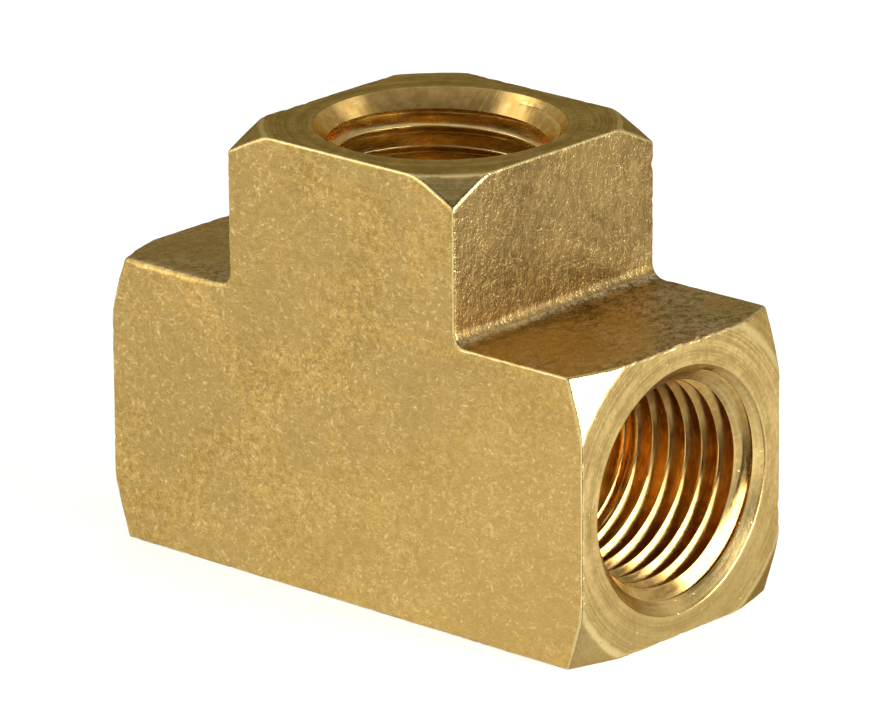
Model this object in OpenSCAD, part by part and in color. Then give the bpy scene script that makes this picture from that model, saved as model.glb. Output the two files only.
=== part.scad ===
// Brass pipe tee with three tapered female ports, 1/2-14 NPT.
// One piece of brass: a square run bar lies along X and a square branch
// stands up along Z at its middle. The base is at z = 0, the middle of the
// bar's length and depth is at x = 0, y = 0. Millimetres.

/* [Bar] */
// Width, depth and height of the square bar that the run and branch have
bar_w = 26.2; // [26:0.1:30]
// Distance from the crossing of the bores to each port's end face
port_reach = 27.5; // [27.5:0.5:34]
// Radius of the hollow between the branch and the top of the run
corner_fillet_r = 1.3; // [0.6:0.1:2.5]

/* [Turned corners of the end faces] */
// Diameter of the flat ring left on the end faces of the run
run_face_d = 30.2; // [28.4:0.2:34]
// Angle between the run's end faces and their turned corners
run_corner_angle = 26; // [15:1:45]
// Diameter of the flat ring left on the end face of the branch
branch_face_d = 31.2; // [28.4:0.1:34]
// Angle between the branch's end face and its turned corners
branch_corner_angle = 37; // [15:1:45]

/* [Pipe thread] */
// Threads per inch along the port
threads_per_inch = 14; // [14]
// Pitch diameter at the port's end face
pitch_d = 19.772; // [19.7:0.001:19.85]
// Depth at which the thread has run out
thread_depth = 16.2; // [12:0.2:16.2]
// Turns over which the thread fades out at its inner end
runout_turns = 2.5; // [1.5:0.5:3]
// Depth of the groove's middle in the run's ports, at the lowest point of the port
run_groove_depth = 1.37; // [0:0.01:1.81]
// Depth of the groove's middle in the branch's port, at the +X side of the port
branch_groove_depth = 1.01; // [0:0.01:1.81]

/* [Bores] */
// Diameter of the hole drilled before each thread is reamed and tapped
tap_drill_d = 17.2; // [16.8:0.1:17.2]
// Diameter of the 90 degree countersink at each port's end face
countersink_d = 22.2; // [21.6:0.1:23]
// Diameter of the passage that joins the two ports of the run
run_passage_d = 15; // [12:0.2:15.6]
// Diameter of the passage that joins the branch's port to the run
branch_passage_d = 14.6; // [11:0.2:15]
// Full angle of the drill's point
drill_point_angle = 118; // [90:1:135]

/* [Smoothness] */
// Straight sides to one turn of the thread
thread_sides = 36; // [24:2:40]

/* [Hidden] */
$fn = 96;

bore_z = bar_w / 2;
top_z = bore_z + port_reach;
cut_clearance = 1;

pitch = 25.4 / threads_per_inch;
thread_height = 0.8 * pitch;
crest_r = (pitch_d - thread_height) / 2;
taper_per_mm = 1 / 32;
flank_angle = 30;
faded_groove = 0.06;

drill_wall_end = port_reach - run_passage_d / 2 - 2;

// Radius of the crest's corners at a depth below the end face. The crest is
// a polygon, so its corners stand outside the round tapered crest.
function crest_corner_r(depth) =
    (crest_r - depth * taper_per_mm) / cos(180 / thread_sides);

// Height of the groove, which grows over its first turns from the inner end
function groove_h(turns) =
    max(faded_groove, min(1, turns / runout_turns) * thread_height);

// A corner of the thread: side -1 and 1 are the groove's two edges on the
// crest and side 0 is its bottom. Step 0 is at the inner end.
function thread_corner(step, side, first_depth) =
    let (
        turns = step / thread_sides,
        depth = first_depth - turns * pitch,
        height = groove_h(turns),
        along = side * height * tan(flank_angle) - depth,
        across = crest_corner_r(-along) + (side == 0 ? height : 0),
        turn_angle = 360 * turns
    )
    [across * cos(turn_angle), across * sin(turn_angle), along];

// The space inside one threaded port, with its end face at z = 0 and the
// port below it: the tapered core with one helical groove around it. At angle
// 0 the middle of the groove is at groove_depth, or whole pitches from it.
module tapped_space(groove_depth) {
    inner_turns = floor((thread_depth - groove_depth) / pitch);
    first_depth = groove_depth + inner_turns * pitch;
    steps = thread_sides * ceil((first_depth + pitch / 2) / pitch);
    corners = [
        for (step = [0 : steps])
            for (side = [-1 : 1])
                thread_corner(step, side, first_depth)
    ];
    inner_middle = len(corners);
    outer_middle = inner_middle + 1;
    middles = [
        [0, 0, corners[0][2]],
        [0, 0, corners[len(corners) - 1][2]]
    ];
    last_turn = steps - thread_sides;
    flank_faces = [
        for (step = [0 : steps - 1])
            for (side = [0 : 1])
                for (half = [0 : 1])
                    let (at = 3 * step + side)
                    half == 0
                        ? [at, at + 4, at + 3]
                        : [at, at + 1, at + 4]
    ];
    crest_faces = [
        for (step = [0 : last_turn - 1])
            for (half = [0 : 1])
                let (low = 3 * step + 2, high = 3 * (step + thread_sides))
                half == 0
                    ? [low, high + 3, low + 3]
                    : [low, high, high + 3]
    ];
    inner_faces = [
        for (step = [0 : thread_sides - 1])
            [inner_middle, 3 * step, 3 * step + 3]
    ];
    outer_faces = [
        for (step = [last_turn : steps - 1])
            [outer_middle, 3 * step + 5, 3 * step + 2]
    ];
    first_side_faces = [
        [inner_middle, 1, 0],
        [inner_middle, 2, 1],
        [inner_middle, 3 * thread_sides, 2]
    ];
    last_side_faces = [
        [outer_middle, 3 * last_turn + 2, 3 * steps],
        [outer_middle, 3 * steps, 3 * steps + 1],
        [outer_middle, 3 * steps + 1, 3 * steps + 2]
    ];
    polyhedron(
        points = concat(corners, middles),
        faces = concat(
            flank_faces,
            crest_faces,
            inner_faces,
            outer_faces,
            first_side_faces,
            last_side_faces
        )
    );
}

// Everything cut away at one port, with its end face at z = 0 and the port
// below it, down to the passage
module port_space(groove_depth) {
    point_h = tap_drill_d / 2 / tan(drill_point_angle / 2);
    translate([0, 0, -drill_wall_end])
        cylinder(d = tap_drill_d, h = drill_wall_end + cut_clearance);
    translate([0, 0, -drill_wall_end - point_h])
        cylinder(d1 = 0, d2 = tap_drill_d, h = point_h);
    translate([0, 0, -countersink_d / 2])
        cylinder(
            d1 = 0,
            d2 = countersink_d + 2 * cut_clearance,
            h = countersink_d / 2 + cut_clearance
        );
    tapped_space(groove_depth);
}

// A body of revolution that turns the corners off an end face at z = 0: a
// cone below the face's flat ring, and nothing above the face
module turned_end(face_d, corner_angle, depth) {
    wide_r = bar_w;
    cone_h = (wide_r - face_d / 2) * tan(corner_angle);
    rotate_extrude()
        polygon([
            [0, 0],
            [face_d / 2, 0],
            [wide_r, -cone_h],
            [wide_r, -depth],
            [0, -depth]
        ]);
}

// Places an object made for an end face at z = 0 at the run's +X or -X end
module at_run_end(side) {
    translate([side * port_reach, 0, bore_z])
        rotate([0, 90, side > 0 ? 0 : 180])
            children();
}

// Places an object made for an end face at z = 0 on top of the branch
module at_branch_end() {
    translate([0, 0, top_z])
        children();
}

module run_bar() {
    intersection() {
        translate([-port_reach, -bar_w / 2, 0])
            cube([2 * port_reach, bar_w, bar_w]);
        at_run_end(1)
            turned_end(run_face_d, run_corner_angle, 2 * port_reach + cut_clearance);
        at_run_end(-1)
            turned_end(run_face_d, run_corner_angle, 2 * port_reach + cut_clearance);
    }
}

module branch_bar() {
    intersection() {
        translate([-bar_w / 2, -bar_w / 2, bore_z])
            cube([bar_w, bar_w, port_reach]);
        at_branch_end()
            turned_end(branch_face_d, branch_corner_angle, port_reach + cut_clearance);
    }
}

// The rounded hollow between the run and the +X side of the branch
module corner_fillet() {
    overlap = 0.5;
    size = corner_fillet_r + overlap;
    difference() {
        translate([bar_w / 2 - overlap, -bar_w / 2, bar_w - overlap])
            cube([size, bar_w, size]);
        translate([
            bar_w / 2 + corner_fillet_r,
            -bar_w / 2 - cut_clearance,
            bar_w + corner_fillet_r
        ])
            rotate([-90, 0, 0])
                cylinder(r = corner_fillet_r, h = bar_w + 2 * cut_clearance);
    }
}

module tee_body() {
    color([0.78, 0.64, 0.36])
        difference() {
            union() {
                run_bar();
                branch_bar();
                corner_fillet();
                mirror([1, 0, 0])
                    corner_fillet();
            }
            for (side = [-1, 1])
                at_run_end(side)
                    port_space(run_groove_depth);
            at_branch_end()
                port_space(branch_groove_depth);
            translate([-port_reach, 0, bore_z])
                rotate([0, 90, 0])
                    cylinder(d = run_passage_d, h = 2 * port_reach);
            translate([0, 0, bore_z])
                cylinder(d = branch_passage_d, h = port_reach);
        }
}

tee_body();
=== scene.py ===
"""A brass pipe tee with three tapered female ports, in metres.

The body's outer skin is the zero level of one formula, a T of square bar with
turned corners, worn edges and small dents. The ports are cut out of it with
closed cutters: a stepped bore and a helical thread for each.
Shapes are worked out in millimetres and turned into metres at the end.
"""
import math

import bpy
import mathutils
import numpy as np
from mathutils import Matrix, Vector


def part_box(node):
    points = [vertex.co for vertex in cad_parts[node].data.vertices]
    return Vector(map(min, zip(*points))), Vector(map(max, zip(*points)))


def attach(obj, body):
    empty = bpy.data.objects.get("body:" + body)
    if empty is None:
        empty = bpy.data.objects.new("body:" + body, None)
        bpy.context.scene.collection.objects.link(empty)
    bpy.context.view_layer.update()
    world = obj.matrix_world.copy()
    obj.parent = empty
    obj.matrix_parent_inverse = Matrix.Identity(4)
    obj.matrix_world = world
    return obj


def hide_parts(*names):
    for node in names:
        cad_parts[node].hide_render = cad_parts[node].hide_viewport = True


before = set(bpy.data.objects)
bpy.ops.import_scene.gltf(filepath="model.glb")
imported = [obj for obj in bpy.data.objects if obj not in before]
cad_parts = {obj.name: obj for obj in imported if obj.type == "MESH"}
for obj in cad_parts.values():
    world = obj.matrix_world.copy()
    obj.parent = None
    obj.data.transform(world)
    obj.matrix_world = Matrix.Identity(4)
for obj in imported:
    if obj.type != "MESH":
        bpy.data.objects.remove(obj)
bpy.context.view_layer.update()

MM = 0.001

# ---------------------------------------------------------------- sizes, mm
low_corner, high_corner = (
    [round(value / MM, 3) for value in corner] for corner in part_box("tee_body")
)
BAR_W = high_corner[1] - low_corner[1]
HALF_BAR = BAR_W / 2
REACH = (high_corner[0] - low_corner[0]) / 2
TOP_Z = high_corner[2]
BORE_Z = HALF_BAR
BRANCH_MIDDLE_Z = (TOP_Z + BORE_Z) / 2
FILLET_R = 1.3

RUN_RING_R = 15.1
RUN_CORNER_ANGLE = math.radians(26)
BRANCH_RING_R = 15.6
BRANCH_CORNER_ANGLE = math.radians(37)

PITCH = 25.4 / 14
PITCH_R = 19.772 / 2
THREAD_HEIGHT = 0.8 * PITCH
CREST_R = PITCH_R - THREAD_HEIGHT / 2
TAPER = 1 / 32
FLANK_SLOPE = math.tan(math.radians(30))
THREAD_DEPTH = 16.2
RUNOUT_TURNS = 2.5
RUN_GROOVE_DEPTH = 1.37
BRANCH_GROOVE_DEPTH = 1.01

MOUTH_R = 11.1
DRILL_R = 8.6
RUN_PASSAGE_R = 7.5
BRANCH_PASSAGE_R = 7.3
DRILL_END = REACH - RUN_PASSAGE_R - 2
DRILL_POINT_SLOPE = math.tan(math.radians(59))

TURN_SIDES = 96


# ------------------------------------------------------------- small helpers
def mesh_object(name, points_mm, faces):
    """A new object whose mesh has these points, given in millimetres."""
    mesh = bpy.data.meshes.new(name)
    mesh.from_pydata((np.asarray(points_mm) * MM).tolist(), [], faces)
    mesh.validate()
    mesh.update()
    piece = bpy.data.objects.new(name, mesh)
    bpy.context.scene.collection.objects.link(piece)
    return piece


def apply_modifiers(piece):
    """Turns the piece's modifiers into its mesh."""
    evaluated = piece.evaluated_get(bpy.context.evaluated_depsgraph_get())
    finished = bpy.data.meshes.new_from_object(evaluated)
    piece.modifiers.clear()
    old = piece.data
    piece.data = finished
    bpy.data.meshes.remove(old)


def cut(piece, cutter):
    """Takes the cutter's space out of the piece, and deletes the cutter."""
    boolean = piece.modifiers.new("cut", "BOOLEAN")
    boolean.operation = "DIFFERENCE"
    boolean.solver = "MANIFOLD"
    boolean.object = cutter
    apply_modifiers(piece)
    bpy.data.objects.remove(cutter)


def lattice_noise(points, cell, seed):
    """Smooth noise from -1 to 1 at each point, from a seeded lattice of random values."""
    size = 48
    values = np.random.default_rng(seed).uniform(-1, 1, (size, size, size))
    scaled = points / cell + 1000
    whole = np.floor(scaled).astype(int)
    part = scaled - whole
    part = part * part * (3 - 2 * part)
    total = np.zeros(len(points))
    for corner in np.ndindex(2, 2, 2):
        weight = np.ones(len(points))
        for axis in range(3):
            weight *= part[:, axis] if corner[axis] else 1 - part[:, axis]
        at = (whole + corner) % size
        total += weight * values[at[:, 0], at[:, 1], at[:, 2]]
    return total


# ---------------------------------------------------------- the outer skin
def round_and(first, second, radius):
    """Inside both fields, with the edge between them rounded to this radius."""
    corner = np.hypot(np.maximum(first + radius, 0), np.maximum(second + radius, 0))
    return np.minimum(np.maximum(first, second), -radius) + corner


def round_or(first, second, radius):
    """Inside either field, with the hollow between them filled to this radius."""
    corner = np.hypot(np.maximum(radius - first, 0), np.maximum(radius - second, 0))
    return np.maximum(np.minimum(first, second), radius) - corner


def turned_corner(across, depth, ring_r, angle):
    """Distance outside the cone that is turned around an end face's flat ring."""
    return (across - ring_r) * math.sin(angle) - depth * math.cos(angle)


def skin_field(x, y, z, edge_r):
    """Distance outside the tee's skin, without its ports, with edges of this radius."""
    run = round_and(
        np.abs(x) - REACH, np.abs(z - BORE_Z) - HALF_BAR, edge_r
    )
    branch = round_and(
        np.abs(x) - HALF_BAR, np.abs(z - BRANCH_MIDDLE_Z) - (TOP_Z - BRANCH_MIDDLE_Z), edge_r
    )
    body = round_and(round_or(run, branch, FILLET_R), np.abs(y) - HALF_BAR, edge_r)
    run_end = turned_corner(
        np.hypot(y, z - BORE_Z), REACH - np.abs(x), RUN_RING_R, RUN_CORNER_ANGLE
    )
    branch_end = turned_corner(
        np.hypot(x, y), TOP_Z - z, BRANCH_RING_R, BRANCH_CORNER_ANGLE
    )
    return round_and(round_and(body, run_end, edge_r), branch_end, edge_r)


# where an edge is worn rounder than the rest: middle, half size, extra radius
WORN_EDGES = (
    ((-0.75 * REACH, -HALF_BAR, BAR_W), (6.5, 1.5, 1.5), 0.5),
    ((HALF_BAR, -HALF_BAR, 0.8 * TOP_Z), (1.5, 1.5, 7.0), 0.14),
    ((HALF_BAR, -HALF_BAR, BAR_W), (1.5, 1.5, 5.0), 0.10),
    ((0, -HALF_BAR, TOP_Z), (9.0, 1.5, 1.5), 0.05),
)
EDGE_R = 0.2


def worn_radius(points):
    """The radius of the nearest edge at each point: uneven, and larger where it is worn."""
    radius = EDGE_R + 0.035 * lattice_noise(points, 2.6, 3) + 0.04 * lattice_noise(points, 0.7, 4)
    for middle, half_size, extra in WORN_EDGES:
        away = np.abs(points - np.array(middle)) / np.array(half_size)
        radius += extra * np.clip(1.4 - away.max(axis=1), 0, 1)
    return radius


def graded_lines(low, high, places, fine, coarse, growth):
    """Grid lines that are close together near the places and wider apart elsewhere."""
    lines = [low]
    while lines[-1] < high:
        away = min(abs(lines[-1] - place) for place in places)
        lines.append(lines[-1] + min(coarse, fine + growth * max(0, away - 0.5)))
    return np.array(lines)


def surface_net(lines, field):
    """One point in each grid cell that the field's zero level crosses, and the quads between."""
    inside = field < 0
    count = sum(
        inside[i:inside.shape[0] - 1 + i, j:inside.shape[1] - 1 + j, k:inside.shape[2] - 1 + k]
        .astype(np.int8)
        for i, j, k in np.ndindex(2, 2, 2)
    )
    crossed = (count > 0) & (count < 8)
    number = np.full(crossed.shape, -1)
    number[crossed] = np.arange(crossed.sum())
    middles = [(axis[:-1] + axis[1:]) / 2 for axis in lines]
    points = np.stack([m[i] for m, i in zip(middles, np.nonzero(crossed))], axis=1)
    quads = []
    for axis in range(3):
        ahead = np.moveaxis(inside, axis, 0)
        cells = np.moveaxis(number, axis, 0)
        change = ahead[1:, 1:-1, 1:-1] != ahead[:-1, 1:-1, 1:-1]
        i, j, k = np.nonzero(change)
        around = np.stack(
            [cells[i, j, k], cells[i, j + 1, k], cells[i, j + 1, k + 1], cells[i, j, k + 1]],
            axis=1,
        )
        outward = ahead[i, j + 1, k + 1] if axis != 1 else ~ahead[i, j + 1, k + 1]
        quads.append(np.where(outward[:, None], around, around[:, ::-1]))
    return points, np.concatenate(quads)


def onto_skin(points):
    """Moves the points onto the worn skin, and returns them with its outward directions."""
    edge_r = worn_radius(points)
    step = 0.01
    for _ in range(6):
        here = skin_field(*points.T, edge_r)
        slope = np.stack(
            [
                (skin_field(*(points + offset).T, edge_r) - here) / step
                for offset in np.eye(3) * step
            ],
            axis=1,
        )
        slope /= np.maximum(np.linalg.norm(slope, axis=1, keepdims=True), 1e-6)
        points = points - here[:, None] * slope
    return points, slope


NICK_SPACING = 2.0
BURRS = 30


def straight_edges():
    """The ends of the body's straight outer edges that show nicks."""
    edges = []
    for y in (-HALF_BAR, HALF_BAR):
        for side in (-1, 1):
            edges.append(((side * HALF_BAR, y, BAR_W), (side * REACH, y, BAR_W)))
            edges.append(((side * HALF_BAR, y, BAR_W), (side * HALF_BAR, y, TOP_Z)))
            edges.append(((side * REACH, y, 0), (side * REACH, y, BAR_W)))
        edges.append(((-REACH, y, 0), (REACH, y, 0)))
        edges.append(((-HALF_BAR, y, TOP_Z), (HALF_BAR, y, TOP_Z)))
    for side in (-1, 1):
        for z in (0, BAR_W):
            edges.append(((side * REACH, -HALF_BAR, z), (side * REACH, HALF_BAR, z)))
        edges.append(((side * HALF_BAR, -HALF_BAR, TOP_Z), (side * HALF_BAR, HALF_BAR, TOP_Z)))
    return edges


def nicks():
    """Small dents along the edges, one pit in front, and burrs, which are dents that
    stand out, on the right end's upper edge: middle, size and depth of each."""
    random = np.random.default_rng(11)
    dents = []
    for start, end in straight_edges():
        start, end = np.array(start, float), np.array(end, float)
        for _ in range(round(np.linalg.norm(end - start) / NICK_SPACING)):
            middle = start + (end - start) * random.uniform(0, 1)
            size = random.uniform(0.12, 0.34)
            dents.append((middle, size, size * random.uniform(0.12, 0.34)))
    for _ in range(BURRS):
        burr = np.array([REACH - 0.08, random.uniform(-0.6, 0.85) * HALF_BAR, BAR_W])
        size = random.uniform(0.12, 0.30)
        dents.append((burr, size, -0.45 * size))
    front_pit = np.array([0.9 * REACH, -HALF_BAR, 0.39 * BAR_W])
    dents.append((front_pit, 0.16, 0.12))
    return dents


def dented(points, outward):
    """The points pushed in or out by the nicks, the burrs and slow waves."""
    depth = 0.012 * lattice_noise(points, 4.5, 5) + 0.006 * lattice_noise(points, 1.7, 6)
    for middle, size, deep in nicks():
        away = ((points - middle) ** 2).sum(axis=1) / (size * size)
        near = away < 9
        depth[near] += deep * np.exp(-away[near])
    return points - outward * depth[:, None]


def outer_skin():
    """The tee's outside as one closed mesh, finest along its edges."""
    margin = 0.6
    corner_depth = 1.2
    fine = 0.12
    along_x = (
        -REACH, corner_depth - REACH, -HALF_BAR, HALF_BAR, REACH - corner_depth, REACH
    )
    along_z = (0, BAR_W, TOP_Z - corner_depth, TOP_Z)
    lines = [
        graded_lines(-REACH - margin, REACH + margin, along_x, fine, 0.34, 0.07),
        graded_lines(
            -HALF_BAR - margin, HALF_BAR + margin, (-HALF_BAR, HALF_BAR), fine, 0.3, 0.05
        ),
        graded_lines(-margin, TOP_Z + margin, along_z, fine, 0.3, 0.06),
    ]
    grid = np.meshgrid(*lines, indexing="ij", sparse=True)
    points, quads = surface_net(lines, skin_field(*grid, EDGE_R))
    points, outward = onto_skin(points)
    points = dented(points, outward)
    skin = mesh_object("brass_tee", points, quads.tolist())
    thin = skin.modifiers.new("fewer faces on the flats", "DECIMATE")
    thin.ratio = 0.42
    apply_modifiers(skin)
    return skin


# ----------------------------------------------------------------- the bores
def port_frames():
    """Each port's end face: where it is, its outward, and where its groove starts."""
    return {
        "right": (mathutils.Matrix.Translation((REACH, 0, BORE_Z))
                  @ mathutils.Matrix.Rotation(math.radians(90), 4, "Y")),
        "left": (mathutils.Matrix.Translation((-REACH, 0, BORE_Z))
                 @ mathutils.Matrix.Rotation(math.radians(180), 4, "Z")
                 @ mathutils.Matrix.Rotation(math.radians(90), 4, "Y")),
        "branch": mathutils.Matrix.Translation((0, 0, TOP_Z)),
    }


def placed(points, place):
    """The points, made for an end face at z = 0, moved to a port."""
    matrix = np.array(place)
    return np.asarray(points) @ matrix[:3, :3].T + matrix[:3, 3]


def stepped_bore(name, place, passage_r, passage_end):
    """A turned cutter: countersink with a softened lip, drilled wall, drill point, passage."""
    lip_r = 0.22
    lip_middle = (MOUTH_R + lip_r * math.tan(math.radians(22.5)), -lip_r)
    outline = [(MOUTH_R + 1.2, 1.5), (lip_middle[0] + 0.45, 0.08)]
    for angle in (12, 23, 34, 45):
        turn = math.radians(angle)
        outline.append(
            (lip_middle[0] - lip_r * math.sin(turn), lip_middle[1] + lip_r * math.cos(turn))
        )
    outline.append((DRILL_R, DRILL_R - MOUTH_R))
    outline.append((DRILL_R, -DRILL_END))
    point_end = DRILL_END + (DRILL_R - passage_r) / DRILL_POINT_SLOPE
    outline.append((passage_r, -point_end))
    outline.append((passage_r, -passage_end))
    points, faces = [], []
    for across, along in outline:
        for side in range(TURN_SIDES):
            turn = 2 * math.pi * side / TURN_SIDES
            points.append((across * math.cos(turn), across * math.sin(turn), along))
    for ring in range(len(outline) - 1):
        for side in range(TURN_SIDES):
            after = (side + 1) % TURN_SIDES
            low, high = (ring + 1) * TURN_SIDES, ring * TURN_SIDES
            faces.append((high + side, low + side, low + after, high + after))
    last = (len(outline) - 1) * TURN_SIDES
    faces.append(tuple(range(TURN_SIDES)))
    faces.append(tuple(last + side for side in reversed(range(TURN_SIDES))))
    return mesh_object(name, placed(points, place), faces)


def groove_section(depth, turns):
    """Corners across one groove at this depth, from its inner edge to its outer: across, along."""
    height = THREAD_HEIGHT * min(1, max(0.05, turns / RUNOUT_TURNS))
    half_width = height * FLANK_SLOPE
    soft = min(0.05, height * 0.2)
    flat = min(0.09, height * 0.3)
    half = (
        (half_width + soft * 0.6, 0),
        (half_width + soft * 0.15, soft * 0.2),
        (half_width - soft * 0.45, soft * 1.1),
        (half_width * 0.5, height * 0.5),
        (flat + 0.03, height - (flat + 0.03) / FLANK_SLOPE),
        (flat * 0.6, height - flat),
        (0, height - flat * 0.9),
    )
    section = [(-along, above) for along, above in half]
    section += [(along, above) for along, above in reversed(half[:-1])]
    return [(CREST_R - (depth - along) * TAPER + above, along - depth) for along, above in section]


def helical_cutter(name, place, groove_depth, seed):
    """A round core with one helical groove around it, fading out at its inner end."""
    inner_turns = math.floor((THREAD_DEPTH - groove_depth) / PITCH)
    first_depth = groove_depth + inner_turns * PITCH
    steps = TURN_SIDES * math.ceil((first_depth + PITCH / 2) / PITCH)
    chatter = np.random.default_rng(seed).normal(0, 0.006, steps + 8)
    rough = np.convolve(chatter, np.ones(3) / 3, "same")
    points = []
    for step in range(steps + 1):
        turns = step / TURN_SIDES
        depth = first_depth - turns * PITCH
        turn = 2 * math.pi * turns
        for across, along in groove_section(depth, turns):
            across += rough[step]
            points.append((across * math.cos(turn), across * math.sin(turn), along))
    wide = len(groove_section(1, 1))
    faces = []
    for step in range(steps):
        for corner in range(wide - 1):
            at = wide * step + corner
            faces.append((at, at + wide, at + wide + 1, at + 1))
    last_turn = steps - TURN_SIDES
    for step in range(last_turn):
        low = wide * step + wide - 1
        high = wide * (step + TURN_SIDES)
        faces.append((low, low + wide, high + wide, high))
    inner_middle = len(points)
    points.append((0, 0, points[0][2]))
    outer_middle = len(points)
    points.append((0, 0, points[wide * steps + wide - 1][2]))
    for step in range(TURN_SIDES):
        faces.append((inner_middle, wide * (step + 1), wide * step))
    for step in range(last_turn, steps):
        edge = wide * step + wide - 1
        faces.append((outer_middle, edge, edge + wide))
    for corner in range(wide - 1):
        faces.append((inner_middle, corner, corner + 1))
        at = wide * steps + corner
        faces.append((outer_middle, at + 1, at))
    faces.append((inner_middle, wide - 1, wide * TURN_SIDES))
    faces.append((outer_middle, wide * steps, wide * last_turn + wide - 1))
    return mesh_object(name, placed(points, place), faces)


def cut_ports(body):
    """Drills and threads the three ports, which meet in the middle."""
    ports = port_frames()
    passages = {
        "right": (RUN_PASSAGE_R, 2 * REACH - DRILL_END - 0.5),
        "left": (0.4, DRILL_END + DRILL_R / DRILL_POINT_SLOPE),
        "branch": (BRANCH_PASSAGE_R, REACH),
    }
    groove_depths = {
        "right": RUN_GROOVE_DEPTH, "left": RUN_GROOVE_DEPTH, "branch": BRANCH_GROOVE_DEPTH
    }
    for seed, (port, place) in enumerate(ports.items()):
        cut(body, stepped_bore(port + "_bore", place, *passages[port]))
        cut(body, helical_cutter(port + "_thread", place, groove_depths[port], 20 + seed))


# ------------------------------------------------------------------ materials
class Nodes:
    """A short way to add and join shader nodes."""

    def __init__(self, tree):
        self.tree = tree
        tree.nodes.clear()

    def add(self, kind, inputs=None, **settings):
        node = self.tree.nodes.new(kind)
        for name, value in settings.items():
            setattr(node, name, value)
        for name, value in (inputs or {}).items():
            if isinstance(value, bpy.types.NodeSocket):
                self.tree.links.new(value, node.inputs[name])
            else:
                node.inputs[name].default_value = value
        return node

    def math(self, operation, first, second=0.0):
        node = self.add("ShaderNodeMath", {0: first, 1: second}, operation=operation)
        return node.outputs[0]

    def vector(self, operation, first, second=(0, 0, 0)):
        node = self.add("ShaderNodeVectorMath", {0: first, 1: second}, operation=operation)
        return node.outputs["Value" if operation in ("DOT_PRODUCT", "LENGTH") else "Vector"]

    def ramp(self, value, low, high, to_low=0.0, to_high=1.0):
        node = self.add(
            "ShaderNodeMapRange",
            {"Value": value, "From Min": low, "From Max": high, "To Min": to_low, "To Max": to_high},
            interpolation_type="SMOOTHSTEP",
        )
        return node.outputs["Result"]

    def mix(self, share, first, second):
        node = self.add("ShaderNodeMix", {0: share, 6: first, 7: second}, data_type="RGBA")
        return node.outputs[2]

    def noise(self, where, scale, detail=2.0, roughness=0.5, distortion=0.0):
        node = self.add(
            "ShaderNodeTexNoise",
            {
                "Vector": where, "Scale": scale, "Detail": detail,
                "Roughness": roughness, "Distortion": distortion,
            },
        )
        return node.outputs["Fac"]

    def bump(self, height, distance, strength=1.0, normal=None):
        inputs = {"Height": height, "Distance": distance, "Strength": strength}
        if normal is not None:
            inputs["Normal"] = normal
        return self.add("ShaderNodeBump", inputs).outputs["Normal"]


def face_plane(nodes):
    """Where a point is in the plane of its own face, and the directions in that plane."""
    texture = nodes.add("ShaderNodeTexCoord")
    place, normal = texture.outputs["Object"], texture.outputs["Normal"]
    # 1 on the axis that the face looks along, where the normal's part is over 0.704
    faces = nodes.vector(
        "FLOOR", nodes.vector("MULTIPLY", nodes.vector("ABSOLUTE", normal), (1.42, 1.42, 1.42))
    )
    in_plane = nodes.vector("SUBTRACT", (1, 1, 1), faces)
    side = nodes.vector("MULTIPLY", nodes.vector("SIGN", normal), faces)
    shift = nodes.vector("MULTIPLY", side, (0.31, 0.52, 0.73))
    return nodes.vector("ADD", nodes.vector("MULTIPLY", place, in_plane), shift), in_plane


def flecks(nodes, plane, cells_per_m, half_length, half_width, keep):
    """Short straight nicks in a share of the cells, each turned its own way."""
    where, in_plane = plane
    cells = nodes.add("ShaderNodeTexVoronoi", {"Vector": where, "Scale": cells_per_m})
    colour = cells.outputs["Color"]
    offset = nodes.vector(
        "MULTIPLY", nodes.vector("SUBTRACT", where, cells.outputs["Position"]), in_plane
    )
    heading = nodes.vector(
        "NORMALIZE",
        nodes.vector("MULTIPLY", nodes.vector("SUBTRACT", colour, (0.5, 0.5, 0.5)), in_plane),
    )
    along = nodes.vector("DOT_PRODUCT", offset, heading)
    away = nodes.vector("LENGTH", offset)
    across_squared = nodes.math(
        "SUBTRACT", nodes.math("MULTIPLY", away, away), nodes.math("MULTIPLY", along, along)
    )
    long_part = nodes.math("DIVIDE", along, half_length)
    wide_part = nodes.math("DIVIDE", across_squared, half_width * half_width)
    reach = nodes.math(
        "SQRT",
        nodes.math(
            "MAXIMUM", nodes.math("ADD", nodes.math("MULTIPLY", long_part, long_part), wide_part), 0.0
        ),
    )
    mark = nodes.ramp(reach, 0.0, 1.0, 1.0, 0.0)
    chance = nodes.add("ShaderNodeSeparateColor", {"Color": colour})
    shown = nodes.math("LESS_THAN", chance.outputs["Green"], keep)
    strength = nodes.ramp(chance.outputs["Blue"], 0.0, 1.0, 0.25, 1.0)
    return nodes.math("MULTIPLY", mark, nodes.math("MULTIPLY", shown, strength))


def scribbles(nodes, where, scale, thickness):
    """Thin wandering scratches: the lines where a smooth noise crosses its middle value."""
    level = nodes.noise(where, scale, 1.0, 0.4, 0.6)
    away = nodes.math("ABSOLUTE", nodes.math("SUBTRACT", level, 0.5))
    return nodes.ramp(away, 0.0, thickness, 1.0, 0.0)


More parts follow.
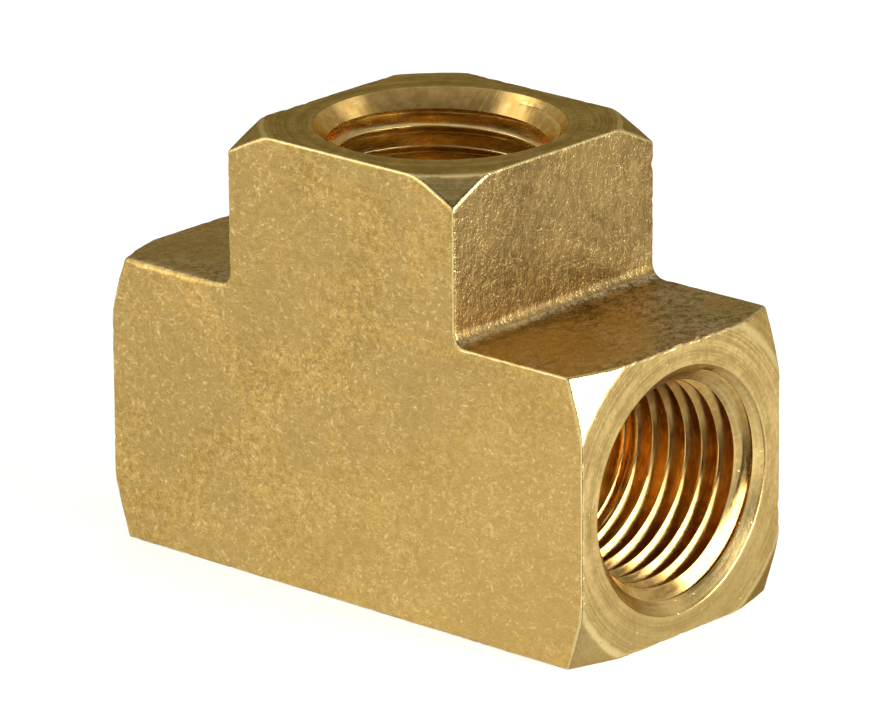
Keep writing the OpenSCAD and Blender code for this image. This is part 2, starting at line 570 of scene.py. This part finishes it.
def metal(nodes, colour, roughness, normal):
    """Ends a material as metal, bare and smoother where an edge is worn."""
    wear = nodes.add("ShaderNodeAttribute", attribute_name="edge_wear").outputs["Fac"]
    texture = nodes.add("ShaderNodeTexCoord").outputs["Object"]
    patchy = nodes.math("MULTIPLY", wear, nodes.ramp(nodes.noise(texture, 800, 3), 0.3, 0.7, 0.6, 1.2))
    bare = nodes.ramp(patchy, 0.3, 0.8)
    colour = nodes.mix(nodes.math("MULTIPLY", bare, 0.7), colour, BRIGHT_NICK)
    roughness = nodes.math("SUBTRACT", roughness, nodes.math("MULTIPLY", bare, 0.06))
    shader = nodes.add(
        "ShaderNodeBsdfPrincipled",
        {
            "Base Color": colour, "Roughness": roughness, "Normal": normal, "Metallic": 1.0,
            "Specular Tint": (0.80, 0.62, 0.34, 1),
        },
    )
    nodes.add("ShaderNodeOutputMaterial", {"Surface": shader.outputs[0]})


# ---------------------------------------------------------------- brass colours
MILLED_DARK = (0.45, 0.300, 0.088, 1)
MILLED_LIGHT = (0.75, 0.500, 0.155, 1)
EXTRUDED_DARK = (0.112, 0.073, 0.027, 1)
EXTRUDED_LIGHT = (0.40, 0.262, 0.098, 1)
RUN_TOP_DARK = (0.165, 0.125, 0.060, 1)
RUN_TOP_LIGHT = (0.62, 0.470, 0.250, 1)
# tarnish for the random patches on the flats, and also painted shade towards the base of the end faces
TARNISH_AND_BASE_SHADE = (0.52, 0.365, 0.128, 1)
# painted shade: a darker copy of the turned colours, for the up-facing branch end
SHADED_TURNED_DARK = (0.31, 0.220, 0.078, 1)
SHADED_TURNED_LIGHT = (0.58, 0.425, 0.168, 1)
TURNED_DARK = (0.60, 0.410, 0.140, 1)
TURNED_LIGHT = (0.92, 0.680, 0.275, 1)
TAPPED_DARK = (0.70, 0.43, 0.120, 1)
TAPPED_LIGHT = (0.90, 0.60, 0.21, 1)
# painted light: a lighter, more golden copy of the tapped colours, for the branch port's threads
LIT_TAPPED_DARK = (0.84, 0.60, 0.215, 1)
LIT_TAPPED_LIGHT = (0.96, 0.74, 0.33, 1)
BRIGHT_NICK = (0.93, 0.74, 0.34, 1)
DULL_NICK = (0.74, 0.55, 0.23, 1)


def bar_brass(name, dark, light, spread, stretch, roughness, nick_size, nick_colour):
    """A flat of the bar: satin, mottled, with small bright nicks and fine scratches."""
    material = bpy.data.materials.new(name)
    material.use_nodes = True
    nodes = Nodes(material.node_tree)
    plane = face_plane(nodes)
    where = plane[0]
    streaked = nodes.vector("MULTIPLY", where, stretch)
    cloud = nodes.noise(where, 150, 4, 0.6)
    speckle = nodes.noise(streaked, 1300, 3, 0.65)
    grain = nodes.noise(streaked, 4200, 2, 0.6)
    mottle = nodes.math(
        "ADD", nodes.math("MULTIPLY", cloud, 0.2),
        nodes.math("ADD", nodes.math("MULTIPLY", speckle, 0.45), nodes.math("MULTIPLY", grain, 0.35)),
    )
    colour = nodes.mix(nodes.ramp(mottle, 0.5 - spread, 0.5 + spread), dark, light)
    patches = nodes.noise(where, 95, 3, 0.6, 0.8)
    colour = nodes.mix(nodes.ramp(patches, 0.42, 0.62, 0.0, 0.62), colour, TARNISH_AND_BASE_SHADE)
    # painted light: the flats are painted brighter towards the base and the right end
    low_right = nodes.vector("DOT_PRODUCT", where, (0.6, 0.0, -0.8))
    painted_light_low_right = nodes.ramp(low_right, -0.020, 0.006, 0.0, 0.5)
    colour = nodes.mix(painted_light_low_right, colour, light)
    busy = nodes.ramp(nodes.noise(where, 75, 2), 0.38, 0.62, 0.08, 0.42)
    large = flecks(nodes, plane, 0.26 / nick_size, 1.3 * nick_size, 0.46 * nick_size, busy)
    small = flecks(nodes, plane, 0.50 / nick_size, 0.75 * nick_size, 0.33 * nick_size, busy)
    dots = flecks(nodes, plane, 0.60 / nick_size, 0.45 * nick_size, 0.38 * nick_size, busy)
    marks = nodes.math("MAXIMUM", large, nodes.math("MAXIMUM", small, dots))
    broken = nodes.ramp(nodes.noise(where, 900, 2), 0.40, 0.62)
    fine = nodes.math("MULTIPLY", scribbles(nodes, where, 1500, 0.055), broken)
    colour = nodes.mix(nodes.math("MULTIPLY", fine, 0.42), colour, nick_colour)
    colour = nodes.mix(nodes.math("MULTIPLY", marks, 0.8), colour, nick_colour)
    rough = nodes.math(
        "SUBTRACT", nodes.ramp(cloud, 0.3, 0.7, roughness - 0.05, roughness + 0.05),
        nodes.math("MULTIPLY", marks, 0.08),
    )
    waves = nodes.bump(cloud, 0.00030, 0.5)
    pores = nodes.bump(speckle, 0.00011, 0.7, waves)
    fine_pores = nodes.bump(grain, 0.000028, 0.8, pores)
    scratches = nodes.bump(fine, 0.000016, 0.5, fine_pores)
    normal = nodes.bump(nodes.math("SUBTRACT", 1.0, marks), 0.00003, 0.6, scratches)
    metal(nodes, colour, rough, normal)
    return material


def turned_brass(name, axis_point, axis, dark, light):
    """An end face off the lathe: rings of tool marks around the port's axis."""
    material = bpy.data.materials.new(name)
    material.use_nodes = True
    nodes = Nodes(material.node_tree)
    plane = face_plane(nodes)
    where = nodes.add("ShaderNodeTexCoord").outputs["Object"]
    keep = tuple(0.0 if part else 1.0 for part in axis)
    across = nodes.vector(
        "LENGTH", nodes.vector("MULTIPLY", nodes.vector("SUBTRACT", where, axis_point), keep)
    )
    wander = nodes.math("MULTIPLY", nodes.noise(where, 140, 2), 0.0006)
    rings_at = nodes.add("ShaderNodeCombineXYZ", {"X": across, "Y": wander}).outputs[0]
    rings = nodes.noise(rings_at, 4200, 2, 0.6)
    wide_rings = nodes.noise(rings_at, 1100, 1, 0.5)
    cloud = nodes.noise(where, 380, 3, 0.6)
    speckle = nodes.noise(where, 2300, 2, 0.6)
    share = nodes.math(
        "ADD", nodes.math("MULTIPLY", rings, 0.4),
        nodes.math("ADD", nodes.math("MULTIPLY", cloud, 0.35), nodes.math("MULTIPLY", speckle, 0.25)),
    )
    colour = nodes.mix(nodes.ramp(share, 0.37, 0.63), dark, light)
    # painted shade: the end faces are painted darker towards the base
    height = nodes.add("ShaderNodeSeparateXYZ", {"Vector": where}).outputs["Z"]
    painted_shade_towards_base = nodes.ramp(nodes.math("ADD", height, wander), 0.0, 0.012, 0.55, 0.0)
    colour = nodes.mix(painted_shade_towards_base, colour, TARNISH_AND_BASE_SHADE)
    marks = flecks(nodes, plane, 1300, 0.00016, 0.00006, 0.4)
    colour = nodes.mix(nodes.math("MULTIPLY", marks, 0.6), colour, BRIGHT_NICK)
    rough = nodes.ramp(rings, 0.3, 0.7, 0.28, 0.38)
    fine = nodes.bump(rings, 0.000018, 0.6)
    wide = nodes.bump(wide_rings, 0.00005, 0.5, fine)
    pores = nodes.bump(speckle, 0.00003, 0.5, wide)
    normal = nodes.bump(nodes.math("SUBTRACT", 1.0, marks), 0.00003, 0.8, pores)
    metal(nodes, colour, rough, normal)
    return material


def tapped_brass(name, axis, dark, light):
    """Inside a port: brighter metal with fine tool marks that run round the thread."""
    material = bpy.data.materials.new(name)
    material.use_nodes = True
    nodes = Nodes(material.node_tree)
    where = nodes.add("ShaderNodeTexCoord").outputs["Object"]
    stretch = tuple(1.0 if part else 0.06 for part in axis)
    around = nodes.vector("MULTIPLY", where, stretch)
    lines = nodes.noise(around, 5200, 3, 0.6)
    cloud = nodes.noise(where, 700, 3, 0.6)
    colour = nodes.mix(nodes.ramp(cloud, 0.35, 0.65), dark, light)
    rough = nodes.ramp(lines, 0.3, 0.7, 0.16, 0.28)
    tool_marks = nodes.bump(lines, 0.000006, 0.5)
    normal = nodes.bump(cloud, 0.00002, 0.4, tool_marks)
    metal(nodes, colour, rough, normal)
    return material


# the order of the finishes on the tee
MILLED, RUN_END, BRANCH_END, RUN_PORT, BRANCH_PORT, SIDES, RUN_TOP = range(7)


def give_materials(body):
    """Gives each stretch of the tee its finish, by where it is and which way it faces."""
    run_axis, branch_axis = (1, 0, 0), (0, 0, 1)
    bore_middle = (0, 0, BORE_Z * MM)
    body.data.materials.clear()
    for material in (
        bar_brass(
            "milled_faces", MILLED_DARK, MILLED_LIGHT, 0.11, (1, 1, 1), 0.45, 0.00048, BRIGHT_NICK
        ),
        turned_brass("turned_run_end", bore_middle, run_axis, TURNED_DARK, TURNED_LIGHT),
        # the branch end gets the darker copy of the turned colours: painted shade
        turned_brass(
            "turned_branch_end", bore_middle, branch_axis, SHADED_TURNED_DARK, SHADED_TURNED_LIGHT
        ),
        tapped_brass("tapped_run_port", run_axis, TAPPED_DARK, TAPPED_LIGHT),
        # the branch port gets the lighter copy of the tapped colours: painted light
        tapped_brass("tapped_branch_port", branch_axis, LIT_TAPPED_DARK, LIT_TAPPED_LIGHT),
        bar_brass(
            "extruded_sides", EXTRUDED_DARK, EXTRUDED_LIGHT, 0.07, (1, 1, 0.6), 0.38, 0.0003, DULL_NICK
        ),
        bar_brass(
            "extruded_top", RUN_TOP_DARK, RUN_TOP_LIGHT, 0.09, (1, 0.7, 1), 0.40, 0.0003, DULL_NICK
        ),
    ):
        body.data.materials.append(material)
    count = len(body.data.polygons)
    middles, normals = np.empty(count * 3), np.empty(count * 3)
    body.data.polygons.foreach_get("center", middles)
    body.data.polygons.foreach_get("normal", normals)
    x, y, z = middles.reshape(-1, 3).T / MM
    normal_x, normal_y, normal_z = normals.reshape(-1, 3).T
    from_run_axis = np.hypot(y, z - BORE_Z)
    from_branch_axis = np.hypot(x, y)
    run_end = (np.abs(x) > REACH - 3) & (np.abs(normal_x) > 0.6)
    branch_end = (z > TOP_Z - 3) & (normal_z > 0.5)
    in_run = (from_run_axis < MOUTH_R + 0.05) & (np.abs(x) < REACH - 0.04)
    in_branch = (from_branch_axis < MOUTH_R + 0.05) & (z > BAR_W) & (z < TOP_Z - 0.04)
    deep_branch = (from_branch_axis < DRILL_R + 0.6) & (from_run_axis > RUN_PASSAGE_R + 0.02) & (
        z > BORE_Z
    ) & (z < BAR_W + 1)
    run_countersink = (np.abs(x) > REACH - 2.1) & (np.abs(np.abs(normal_x) - 0.7) < 0.08)
    branch_countersink = (z > TOP_Z - 2.1) & (np.abs(normal_z - 0.7) < 0.08)
    index = np.where(np.abs(normal_y) > 0.7, MILLED, SIDES)
    index[(index == SIDES) & (normal_z > 0.7)] = RUN_TOP
    index[run_end] = RUN_END
    index[branch_end] = BRANCH_END
    index[in_run & ~deep_branch] = RUN_PORT
    index[in_branch | deep_branch] = BRANCH_PORT
    index[in_run & run_countersink] = RUN_END
    index[in_branch & branch_countersink] = RUN_PORT
    body.data.polygons.foreach_set("material_index", index)


def mark_worn_edges(body):
    """Stores how near each point is to a worn edge, for the finishes to show."""
    count = len(body.data.vertices)
    places = np.empty(count * 3)
    body.data.vertices.foreach_get("co", places)
    x, y, z = places.reshape(-1, 3).T / MM
    wear = (skin_field(x, y, z, 0.4) - skin_field(x, y, z, 0.01)) / 0.11
    for across, depth in (
        (np.hypot(y, z - BORE_Z), REACH - np.abs(x)), (np.hypot(x, y), TOP_Z - z)
    ):
        rim = 0.55 * np.exp(-((across - MOUTH_R - 0.08) / 0.10) ** 2) * (np.abs(depth) < 0.3)
        wear = np.maximum(wear, rim)
    attribute = body.data.attributes.new("edge_wear", "FLOAT", "POINT")
    attribute.data.foreach_set("value", np.clip(wear, 0, 1))


def finish_shading(body):
    """Smooth faces, with sharp edges only where the surface really turns."""
    body.data.polygons.foreach_set("use_smooth", [True] * len(body.data.polygons))
    body.data.set_sharp_from_angle(angle=math.radians(38))


# ------------------------------------------------------------ floor and light
def pale_floor():
    """A plain pale floor just under the tee."""
    half = 2.5
    gap = 0.00002
    corners = [(x * half, y * half, -gap) for x, y in ((-1, -1), (1, -1), (1, 1), (-1, 1))]
    mesh = bpy.data.meshes.new("floor")
    mesh.from_pydata(corners, [], [(0, 1, 2, 3)])
    floor = bpy.data.objects.new("floor", mesh)
    bpy.context.scene.collection.objects.link(floor)
    material = bpy.data.materials.new("pale_floor")
    material.use_nodes = True
    shader = material.node_tree.nodes["Principled BSDF"]
    shader.inputs["Base Color"].default_value = (0.86, 0.86, 0.86, 1)
    shader.inputs["Roughness"].default_value = 0.9
    shader.inputs["Specular IOR Level"].default_value = 0.0
    shader.inputs["Emission Color"].default_value = (1, 1, 1, 1)
    shader.inputs["Emission Strength"].default_value = 0.55
    mesh.materials.append(material)
    floor.visible_glossy = False


def soft_box(name, toward, distance, width, height, strength):
    """A rectangular studio light that looks at the middle of the tee."""
    lamp = bpy.data.lights.new(name, "AREA")
    lamp.shape = "RECTANGLE"
    lamp.size, lamp.size_y = width, height
    lamp.energy = strength * width * height
    piece = bpy.data.objects.new(name, lamp)
    bpy.context.scene.collection.objects.link(piece)
    direction = mathutils.Vector(toward).normalized()
    piece.location = mathutils.Vector((0, 0, BORE_Z * MM)) + direction * distance
    piece.rotation_euler = direction.to_track_quat("Z", "Y").to_euler()


# what the metal mirrors: towards, full within, gone beyond (degrees), radiance
GLOWS = (
    ((-0.25, -0.92, -0.31), 58, 76, 0.76),
    ((0.64, 0.71, -0.31), 22, 42, 0.58),
    ((-0.64, 0.71, 0.31), 50, 95, 0.34),
    ((0.68, -0.61, -0.31), 8, 22, 0.9),
    ((-0.63, -0.29, 0.69), 6, 18, 1.5),
    ((0.30, 0.71, 0.62), 6, 16, 0.8),
    ((-0.13, 0.15, 0.98), 14, 34, 0.36),
    ((0.35, 0.20, -0.90), 24, 50, 0.5),
)


def studio_light():
    """A bright box low on the right, a broad one at the front left, and soft glows around."""
    soft_box("key", (0.95, 0.18, 0.20), 0.9, 0.68, 0.64, 24)
    soft_box("front_fill", (-0.55, -0.75, 0.30), 1.1, 0.9, 0.5, 7)
    world = bpy.data.worlds.new("studio")
    bpy.context.scene.world = world
    world.use_nodes = True
    nodes = Nodes(world.node_tree)
    toward = nodes.add("ShaderNodeTexCoord").outputs["Generated"]
    radiance = 0.04
    for middle, full, gone, strength in GLOWS:
        aim = tuple(mathutils.Vector(middle).normalized())
        close = nodes.vector("DOT_PRODUCT", toward, aim)
        glow = nodes.ramp(
            close, math.cos(math.radians(gone)), math.cos(math.radians(full)), 0.0, strength
        )
        radiance = nodes.math("ADD", glow, radiance)
    shader = nodes.add("ShaderNodeBackground", {"Color": (1, 0.98, 0.95, 1), "Strength": radiance})
    nodes.add("ShaderNodeOutputWorld", {"Surface": shader.outputs[0]})


def photo_camera():
    """A long lens, a little above the tee and to the front right of it."""
    azimuth, elevation, roll = math.radians(41.93), math.radians(18.37), math.radians(-0.375)
    distance = 0.6939
    back = mathutils.Vector((
        math.sin(azimuth) * math.cos(elevation),
        -math.cos(azimuth) * math.cos(elevation),
        math.sin(elevation),
    ))
    right = mathutils.Vector((math.cos(azimuth), math.sin(azimuth), 0))
    up = back.cross(right)
    aim = mathutils.Vector((0, 0, 0.018)) + right * 0.00042 + up * 0.000567
    turned = mathutils.Matrix((right, up, back)).transposed().to_4x4()
    lens = bpy.data.cameras.new("camera")
    lens.sensor_width = 36
    lens.lens = 319.4
    lens.clip_start, lens.clip_end = 0.01, 20
    camera = bpy.data.objects.new("camera", lens)
    bpy.context.scene.collection.objects.link(camera)
    camera.matrix_world = (
        mathutils.Matrix.Translation(aim + back * distance)
        @ turned
        @ mathutils.Matrix.Rotation(roll, 4, "Z")
    )
    bpy.context.scene.camera = camera
    bpy.context.scene.view_settings.view_transform = "Standard"


# ------------------------------------------------------------------- assembly
tee = outer_skin()
cut_ports(tee)
give_materials(tee)
mark_worn_edges(tee)
finish_shading(tee)
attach(tee, "root")
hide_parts("tee_body")

pale_floor()
studio_light()
photo_camera()
